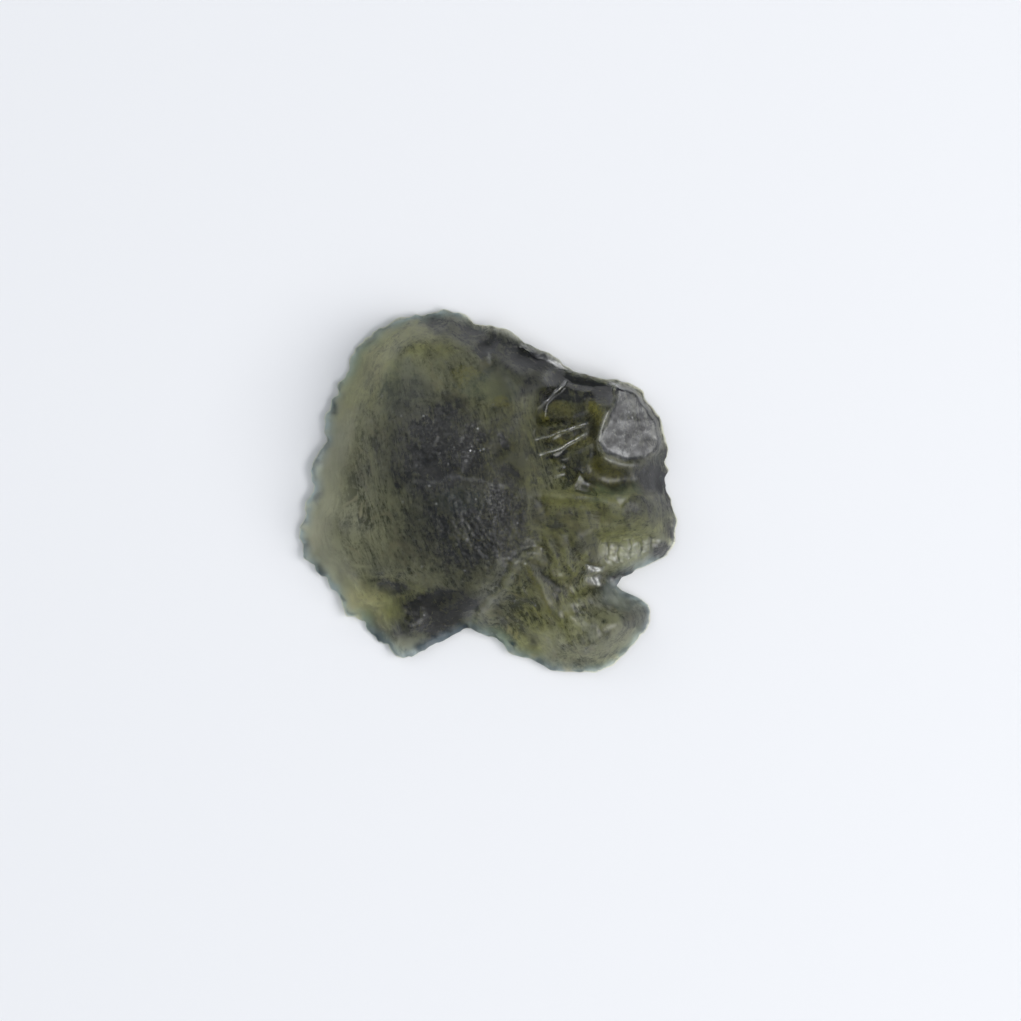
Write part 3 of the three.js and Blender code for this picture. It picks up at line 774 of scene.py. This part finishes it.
        {"at": (6.0, 1.5), "half": (0.2, 0.14), "much": 0.7},
        {"at": (6.2, 4.1), "half": (0.12, 0.2), "turn": -35, "much": 0.9},
        {"at": (5.5, 3.3), "half": (0.12, 0.3), "turn": 20, "much": 0.7},
        {"at": (6.6, 2.0), "half": (0.4, 0.2), "turn": 25, "much": 0.8},
        {"at": (5.2, 2.2), "half": (0.2, 0.12), "much": 0.7},
        {"at": (6.7, 3.3), "half": (0.15, 0.25), "turn": 30, "much": 0.7},
    ],
    "matte": [  # finely etched, without sheen
        {"at": (0.8, 0.4), "half": (1.4, 2.4), "turn": -10, "much": 1.0},
        {"at": (1.7, 2.6), "half": (0.6, 2.4), "much": 0.9},
        {"at": (-0.3, 1.6), "half": (1.0, 1.0), "much": 0.9},
        {"at": (1.6, -2.0), "half": (1.4, 1.4), "much": 0.8},
        {"at": (2.9, -3.0), "half": (1.6, 1.4), "turn": -40, "much": 0.7},
        {"at": (4.6, -0.9), "half": (2.4, 0.9), "much": 0.6},
        {"at": (2.3, 4.8), "half": (0.8, 0.5), "turn": 35, "much": 1.0},
        {"at": (-1.6, -5.0), "half": (1.2, 0.8), "much": 0.8},
    ],
    "gloss": [  # smooth fracture
        {"lines": ("blackBand",), "wide": 0.7, "much": 1.0},
        {"area": "hollow", "soft": 0.3, "much": 0.45},
    ],
}

# tints that follow the rim, by their reach inwards in mm
rimTints = {
    "coolReach": 0.65,
    "patchSize": 0.45,
    # painted glow: the left rim is made clearer glass, standing for light that comes through the stone
    "glowStart": 0.3,
    "glowReach": 2.0,
    "glowMuch": 0.9,
    "glowEdge": -3.5,  # the glow is on the left of this x
    "fleckStart": 0.08,
    "fleckReach": 0.25,
    "fleckSize": 0.5,
    "fleckMuch": 0.7,
    "brokenReach": 0.8,
}


def keepMask(name, values):
    layer = stone.data.attributes.new(name, "FLOAT", "POINT")
    layer.data.foreach_set("value", values.astype(np.float32))


def paintTints():
    co, no = places(stone), normals(stone)
    upper = smoothStep((no[:, 2] + 0.15) / 0.4)
    waved = ragged(ragged(co, 0.3, 0.8), 0.1, 0.2)
    near = ragged(co, 0.05, 0.4)
    patchy = np.array([noise.noise(Vector(p) / rimTints["patchSize"]) for p in co])
    broken = [*brokenEdge["line"], (7.5, 2.2), (7.7, -2.0)]
    whole = smoothStep(toLine(co, broken)[0] / rimTints["brokenReach"])  # unbroken rim
    rim = (1 - smoothStep(inside / rimTints["coolReach"])) * smoothStep(0.95 + patchy) * whole
    apart = Vector((9, 0, 0))  # another part of the noise
    flecks = np.array([noise.noise(Vector(p) / rimTints["fleckSize"] + apart) for p in co])
    fleckLine = 1 - smoothStep((inside - rimTints["fleckStart"]) / rimTints["fleckReach"])
    glow = 1 - smoothStep((inside - rimTints["glowStart"]) / rimTints["glowReach"])
    glow *= rimTints["glowMuch"] * smoothStep((rimTints["glowEdge"] - co[:, 0]) / 3)
    masks = {}
    for name, marks in tints.items():
        mask = np.zeros(len(co))
        for mark in marks:
            if "lines" in mark:
                where = waved if mark["wide"] > 0.5 or mark.get("loose") else near
                ends = mark.get("ends", 0.1)
                spots = [stroke(where, lines[line], mark["wide"], ends) for line in mark["lines"]]
            elif "area" in mark:
                where = waved if mark.get("loose") else near
                spots = [field(where, areas[mark["area"]], mark["soft"])]
            else:
                spots = [oval(waved, mark["at"], mark["half"], mark.get("turn", 0))]
            mask = np.maximum.reduce([mask, *(mark["much"] * spot for spot in spots)])
        # the painted glow along the left rim goes into the pale mask
        if name == "pale":
            mask = np.maximum(mask, glow)
        # along the unbroken rim the bluish tint is painted, standing for the surroundings seen through the
        # edge
        if name == "cool":
            mask = np.maximum(mask, rim)
        if name == "blue":
            mask = np.maximum(mask, rimTints["fleckMuch"] * fleckLine * smoothStep(flecks / 0.3) * whole)
        masks[name] = mask * upper
    masks["darkTintAndShade"] *= 1 - 0.8 * masks["pale"]  # pale glass gets little of the dark tint and painted shade
    for name, mask in masks.items():
        keepMask(name, mask)
    keepMask("rim", rim)
    keepMask("relief", findRelief())
    keepMask("upper", upper)
    keepMask("cells", field(near, areas["cells"], 0.5) * upper)
    keepMask("flowAcross", region["rightLobe"])
    keepMask("flowDown", region["lowerLobe"])
    print("masks kept on the mesh")


paintTints()

# natural green glass
greenGlass = {
    "ior": 1.49,
    "absorbColour": (0.25, 0.255, 0.0, 1),
    "absorbDensity": 130.0,  # per metre
    "clear": (1.0, 1.0, 0.80, 1),
    "dull": (0.05, 0.054, 0.025, 1),
    "olive": (0.97, 0.97, 0.44, 1),
    # colour of the dark tint over the core and of the painted shade in grooves, the hollow and along the
    # bevel
    "darkTintAndShadeColour": (0.006, 0.006, 0.010, 1),
    "blue": (0.02, 0.04, 0.07, 1),
    "amber": (0.85, 0.77, 0.60, 1),
    "warm": (0.95, 0.85, 0.14, 1),
    "pale": (1.0, 1.0, 0.80, 1),
    "cool": (0.42, 0.57, 0.70, 1),
    "etchedRoughness": 0.43,
    "matteRoughness": 0.75,
    "fractureRoughness": 0.08,
    "frostIor": 3.0,
    "frostRoughness": 0.5,
    "grainDepth": 0.005,
}
# patterns of the glass, per mm
patterns = {"blotch": 1.6, "fine": 6.0, "amber": 0.6, "cell": 2.2, "specks": 3.0, "speckGroups": 2.0,
            "grit": 10.0, "skin": 7.0}
# streaks: turn, length and width in mm
streaks = {"across": (105, 0.7, 0.14), "rightLobe": (174, 0.7, 0.14), "lowerLobe": (-62, 1.2, 0.14),
           "broad": (100, 2.0, 0.45)}


def addNode(tree, kind, *values, **settings):
    made = tree.nodes.new(kind)
    for key, value in settings.items():
        setattr(made, key, value)
    for socket, value in zip(made.inputs, values):
        if isinstance(value, bpy.types.NodeSocket):
            tree.links.new(value, socket)
        elif value is not None:
            socket.default_value = value
    return made


def calc(tree, what, a, b=0.0):
    return addNode(tree, "ShaderNodeMath", a, b, operation=what).outputs[0]


def blendColour(tree, share, a, b, how="MIX"):
    made = addNode(tree, "ShaderNodeMix", data_type="RGBA", blend_type=how)
    for name, value in (("Factor_Float", share), ("A_Color", a), ("B_Color", b)):
        socket = next(s for s in made.inputs if s.identifier == name)
        if isinstance(value, bpy.types.NodeSocket):
            tree.links.new(value, socket)
        else:
            socket.default_value = value
    return next(s for s in made.outputs if s.identifier == "Result_Color")


def remap(tree, value, low, high, toLow=0.0, toHigh=1.0):
    values = (value, low, high, toLow, toHigh)
    return addNode(tree, "ShaderNodeMapRange", *values, interpolation_type="SMOOTHSTEP").outputs[0]


def grain(tree, where, scale, detail=3.0, roughness=0.6, twist=0.0):
    made = addNode(tree, "ShaderNodeTexNoise", where)
    made.inputs["Scale"].default_value = scale
    made.inputs["Detail"].default_value = detail
    made.inputs["Roughness"].default_value = roughness
    made.inputs["Distortion"].default_value = twist
    return made.outputs[0]


def cells(tree, where, scale, feature="F1"):
    made = addNode(tree, "ShaderNodeTexVoronoi", where, feature=feature)
    made.inputs["Scale"].default_value = scale
    return made.outputs["Distance"]


# fine streaks along turn
def hairs(tree, spot, turn, along, across):
    sizes = (along * mm, across * mm, across * mm)
    flow = addNode(tree, "ShaderNodeMapping", spot, (0, 0, 0), (0, 0, math.radians(turn)), sizes,
                   vector_type="TEXTURE")
    return grain(tree, flow.outputs[0], 1.0, 3, 0.65, 1.2)


def mixValue(tree, share, a, b):
    return addNode(tree, "ShaderNodeMix", share, None, a, b, data_type="FLOAT").outputs[0]


def tint(tree, name):
    return addNode(tree, "ShaderNodeAttribute", attribute_name=name).outputs["Fac"]


def makeGlass():
    material = bpy.data.materials.new("greenGlass")
    material.use_nodes = True
    tree = material.node_tree
    tree.nodes.clear()
    out = tree.nodes.new("ShaderNodeOutputMaterial")
    body = tree.nodes.new("ShaderNodeBsdfPrincipled")
    spot = addNode(tree, "ShaderNodeTexCoord").outputs["Object"]
    where = addNode(tree, "ShaderNodeMapping", spot, (0, 0, 0), (0, 0, 0), (1 / mm,) * 3).outputs[0]

    # colour: clear olive, mottled, painted shade in the pits and painted light on the ridges, a dark tint
    # over the core with painted shade in grooves and the hollow, with yellow and pale glimpses
    relief = tint(tree, "relief")
    blotch = remap(tree, grain(tree, where, patterns["blotch"], 6, 0.7, 0.8), 0.32, 0.68)
    fine = remap(tree, grain(tree, where, patterns["fine"], 4, 0.7), 0.3, 0.7)
    streak = hairs(tree, spot, *streaks["across"])
    streak = mixValue(tree, tint(tree, "flowAcross"), streak, hairs(tree, spot, *streaks["rightLobe"]))
    streak = mixValue(tree, tint(tree, "flowDown"), streak, hairs(tree, spot, *streaks["lowerLobe"]))
    broad = remap(tree, hairs(tree, spot, *streaks["broad"]), 0.35, 0.65, -0.2, 0.25)
    mottle = calc(tree, "ADD", calc(tree, "MULTIPLY", blotch, 0.5), calc(tree, "MULTIPLY", fine, 0.25))
    # painted shade and light: pits darker, ridges clearer, by how far each point stands out
    mottle = calc(tree, "ADD", mottle, remap(tree, relief, -0.7, 0.7, -0.2, 0.3))
    mottle = calc(tree, "ADD", mottle, remap(tree, streak, 0.35, 0.65, -0.1, 0.2))
    mottle = calc(tree, "ADD", mottle, broad)
    mottle = calc(tree, "MULTIPLY", calc(tree, "SUBTRACT", mottle, 0.22), 1.3)
    darkTintAndShade = calc(tree, "MULTIPLY", tint(tree, "darkTintAndShade"), remap(tree, mottle, 0.0, 1.0, 1.1, 0.92))
    cell = remap(tree, cells(tree, where, patterns["cell"], "DISTANCE_TO_EDGE"), 0.0, 0.16, 0.4, 1.0)
    pale = calc(tree, "MAXIMUM", tint(tree, "pale"), calc(tree, "MULTIPLY", tint(tree, "cells"), cell))
    under = calc(tree, "MULTIPLY", calc(tree, "SUBTRACT", 1.0, tint(tree, "upper")), 0.5)
    colour = blendColour(tree, calc(tree, "ADD", mottle, under), greenGlass["dull"], greenGlass["clear"])
    amber = remap(tree, grain(tree, where, patterns["amber"], 3, 0.6, 2.0), 0.52, 0.72, 0, 0.8)
    colour = blendColour(tree, amber, colour, greenGlass["amber"])
    colour = blendColour(tree, pale, colour, greenGlass["pale"])
    colour = blendColour(tree, tint(tree, "cool"), colour, greenGlass["cool"])
    # lay on the dark tint and the painted shade
    colour = blendColour(tree, darkTintAndShade, colour, greenGlass["darkTintAndShadeColour"])
    colour = blendColour(tree, tint(tree, "olive"), colour, greenGlass["olive"], "MULTIPLY")
    blue = tint(tree, "blue")
    colour = blendColour(tree, blue, colour, greenGlass["blue"])
    warm = calc(tree, "MULTIPLY", tint(tree, "warm"), remap(tree, fine, 0.0, 1.0, 0.3, 1.0))
    colour = blendColour(tree, warm, colour, greenGlass["warm"])
    tree.links.new(colour, body.inputs["Base Color"])

    # roughness: etched skin, matte slopes, smoother fracture
    gloss = tint(tree, "gloss")
    etched = greenGlass["etchedRoughness"]
    etched = remap(tree, fine, 0.0, 1.0, etched - 0.07, etched + 0.07)
    rough = mixValue(tree, tint(tree, "matte"), etched, greenGlass["matteRoughness"])
    rough = mixValue(tree, gloss, rough, greenGlass["fractureRoughness"])
    tree.links.new(rough, body.inputs["Roughness"])

    # frost: broken grey skin, worn ridges and tiny bright specks
    specks = remap(tree, cells(tree, where, patterns["specks"]), 0.1, 0.2, 0.8, 0.0)
    groups = remap(tree, grain(tree, where, patterns["speckGroups"], 2), 0.52, 0.62)
    specks = calc(tree, "MULTIPLY", specks, groups)
    worn = calc(tree, "MULTIPLY", remap(tree, streak, 0.5, 0.75), remap(tree, fine, 0.3, 1.0, 0.0, 0.2))
    crest = remap(tree, relief, 0.2, 0.9, 0.0, 0.08)
    crest = calc(tree, "MULTIPLY", crest, remap(tree, fine, 0.2, 1.0, 0.2, 1.0))
    grit = remap(tree, grain(tree, where, patterns["grit"], 2, 0.6), 0.42, 0.75, 0.0, 0.2)
    crest = calc(tree, "MAXIMUM", crest, calc(tree, "MULTIPLY", grit, tint(tree, "darkTintAndShade")))
    worn = calc(tree, "MAXIMUM", worn, crest)
    worn = calc(tree, "MAXIMUM", specks, worn)
    worn = calc(tree, "MULTIPLY", worn, calc(tree, "SUBTRACT", 1.0, tint(tree, "clean")))
    frost = calc(tree, "MULTIPLY", calc(tree, "ADD", blotch, fine), 0.5)
    frost = calc(tree, "MULTIPLY", tint(tree, "frost"), remap(tree, frost, 0.15, 0.85, 0.15, 1.1))
    frost = calc(tree, "MULTIPLY", frost, calc(tree, "SUBTRACT", 1.0, tint(tree, "pits")))
    frost = calc(tree, "MAXIMUM", frost, calc(tree, "MAXIMUM", worn, tint(tree, "ridge")))
    edge = calc(tree, "MULTIPLY", tint(tree, "rim"), remap(tree, fine, 0.4, 1.0, 0.0, 0.35))
    edge = calc(tree, "MULTIPLY", edge, calc(tree, "SUBTRACT", 1.0, blue))
    frost = calc(tree, "MAXIMUM", frost, edge)
    tree.links.new(frost, body.inputs["Coat Weight"])
    body.inputs["Coat Roughness"].default_value = greenGlass["frostRoughness"]
    body.inputs["Coat IOR"].default_value = greenGlass["frostIor"]

    # fine grain of the skin
    skin = calc(tree, "SUBTRACT", 1.0, calc(tree, "MULTIPLY", gloss, 0.85))
    bump = tree.nodes.new("ShaderNodeBump")
    bump.inputs["Distance"].default_value = greenGlass["grainDepth"] * mm
    tree.links.new(skin, bump.inputs["Strength"])
    tree.links.new(grain(tree, where, patterns["skin"], 1), bump.inputs["Height"])
    tree.links.new(bump.outputs["Normal"], body.inputs["Normal"])

    body.inputs["Metallic"].default_value = 0.0
    body.inputs["IOR"].default_value = greenGlass["ior"]
    body.inputs["Transmission Weight"].default_value = 1.0
    tree.links.new(body.outputs["BSDF"], out.inputs["Surface"])
    absorb = tree.nodes.new("ShaderNodeVolumeAbsorption")
    absorb.inputs["Color"].default_value = greenGlass["absorbColour"]
    absorb.inputs["Density"].default_value = greenGlass["absorbDensity"]
    tree.links.new(absorb.outputs["Volume"], out.inputs["Volume"])
    return material


stone.data.materials.clear()
stone.data.materials.append(makeGlass())
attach(stone, "root")
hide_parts("moldavite")
print("glass done")

# floor, soft boxes and camera, in metres
studio = {
    "floorColour": (0.832, 0.831, 0.842, 1),
    "floorRoughness": 0.9,
    "floorSize": 2.0,
    "worldColour": (0.84, 0.93, 1.06, 1),
    "worldStrength": 0.31,
    "boxes": [
        {"name": "key", "at": (0.36, -0.06, 0.32), "size": 0.35, "power": 1.6},
        {"name": "fill", "at": (-0.30, 0.22, 0.42), "size": 0.5, "power": 0.72},
        {"name": "front", "at": (0.30, -0.22, 0.42), "size": 0.5, "power": 1.37},
    ],
}
photoView = {"lens": 120.0, "sensor": 36.0, "frameWidth": 0.043, "aim": (0.00097, -0.00079),
             "level": 0.0006}


def makeFloor():
    bpy.ops.mesh.primitive_plane_add(size=studio["floorSize"], location=(0, 0, -0.01 * mm))
    floor = bpy.context.object
    floor.name = "floor"
    paper = bpy.data.materials.new("palePaper")
    paper.use_nodes = True
    body = paper.node_tree.nodes["Principled BSDF"]
    body.inputs["Base Color"].default_value = studio["floorColour"]
    body.inputs["Roughness"].default_value = studio["floorRoughness"]
    floor.data.materials.append(paper)
    deselectAll()


def makeLights():
    for box in studio["boxes"]:
        lamp = bpy.data.lights.new(box["name"], "AREA")
        lamp.size = box["size"]
        lamp.energy = box["power"]
        holder = bpy.data.objects.new(box["name"], lamp)
        bpy.context.scene.collection.objects.link(holder)
        holder.location = box["at"]
        holder.rotation_euler = (-Vector(box["at"])).to_track_quat("-Z", "Y").to_euler()
    world = bpy.data.worlds.new("tent")
    bpy.context.scene.world = world
    world.use_nodes = True
    sky = world.node_tree.nodes["Background"]
    sky.inputs["Color"].default_value = studio["worldColour"]
    sky.inputs["Strength"].default_value = studio["worldStrength"]
    bpy.context.scene.view_settings.view_transform = "Standard"


def makeCamera():
    camera = bpy.data.cameras.new("camera")
    camera.lens, camera.sensor_width = photoView["lens"], photoView["sensor"]
    camera.clip_start, camera.clip_end = 0.005, 10
    holder = bpy.data.objects.new("camera", camera)
    bpy.context.scene.collection.objects.link(holder)
    away = photoView["frameWidth"] * photoView["lens"] / photoView["sensor"]
    holder.location = (*photoView["aim"], photoView["level"] + away)  # looks straight down
    bpy.context.scene.camera = holder


makeFloor()
makeLights()
makeCamera()
print("studio done")
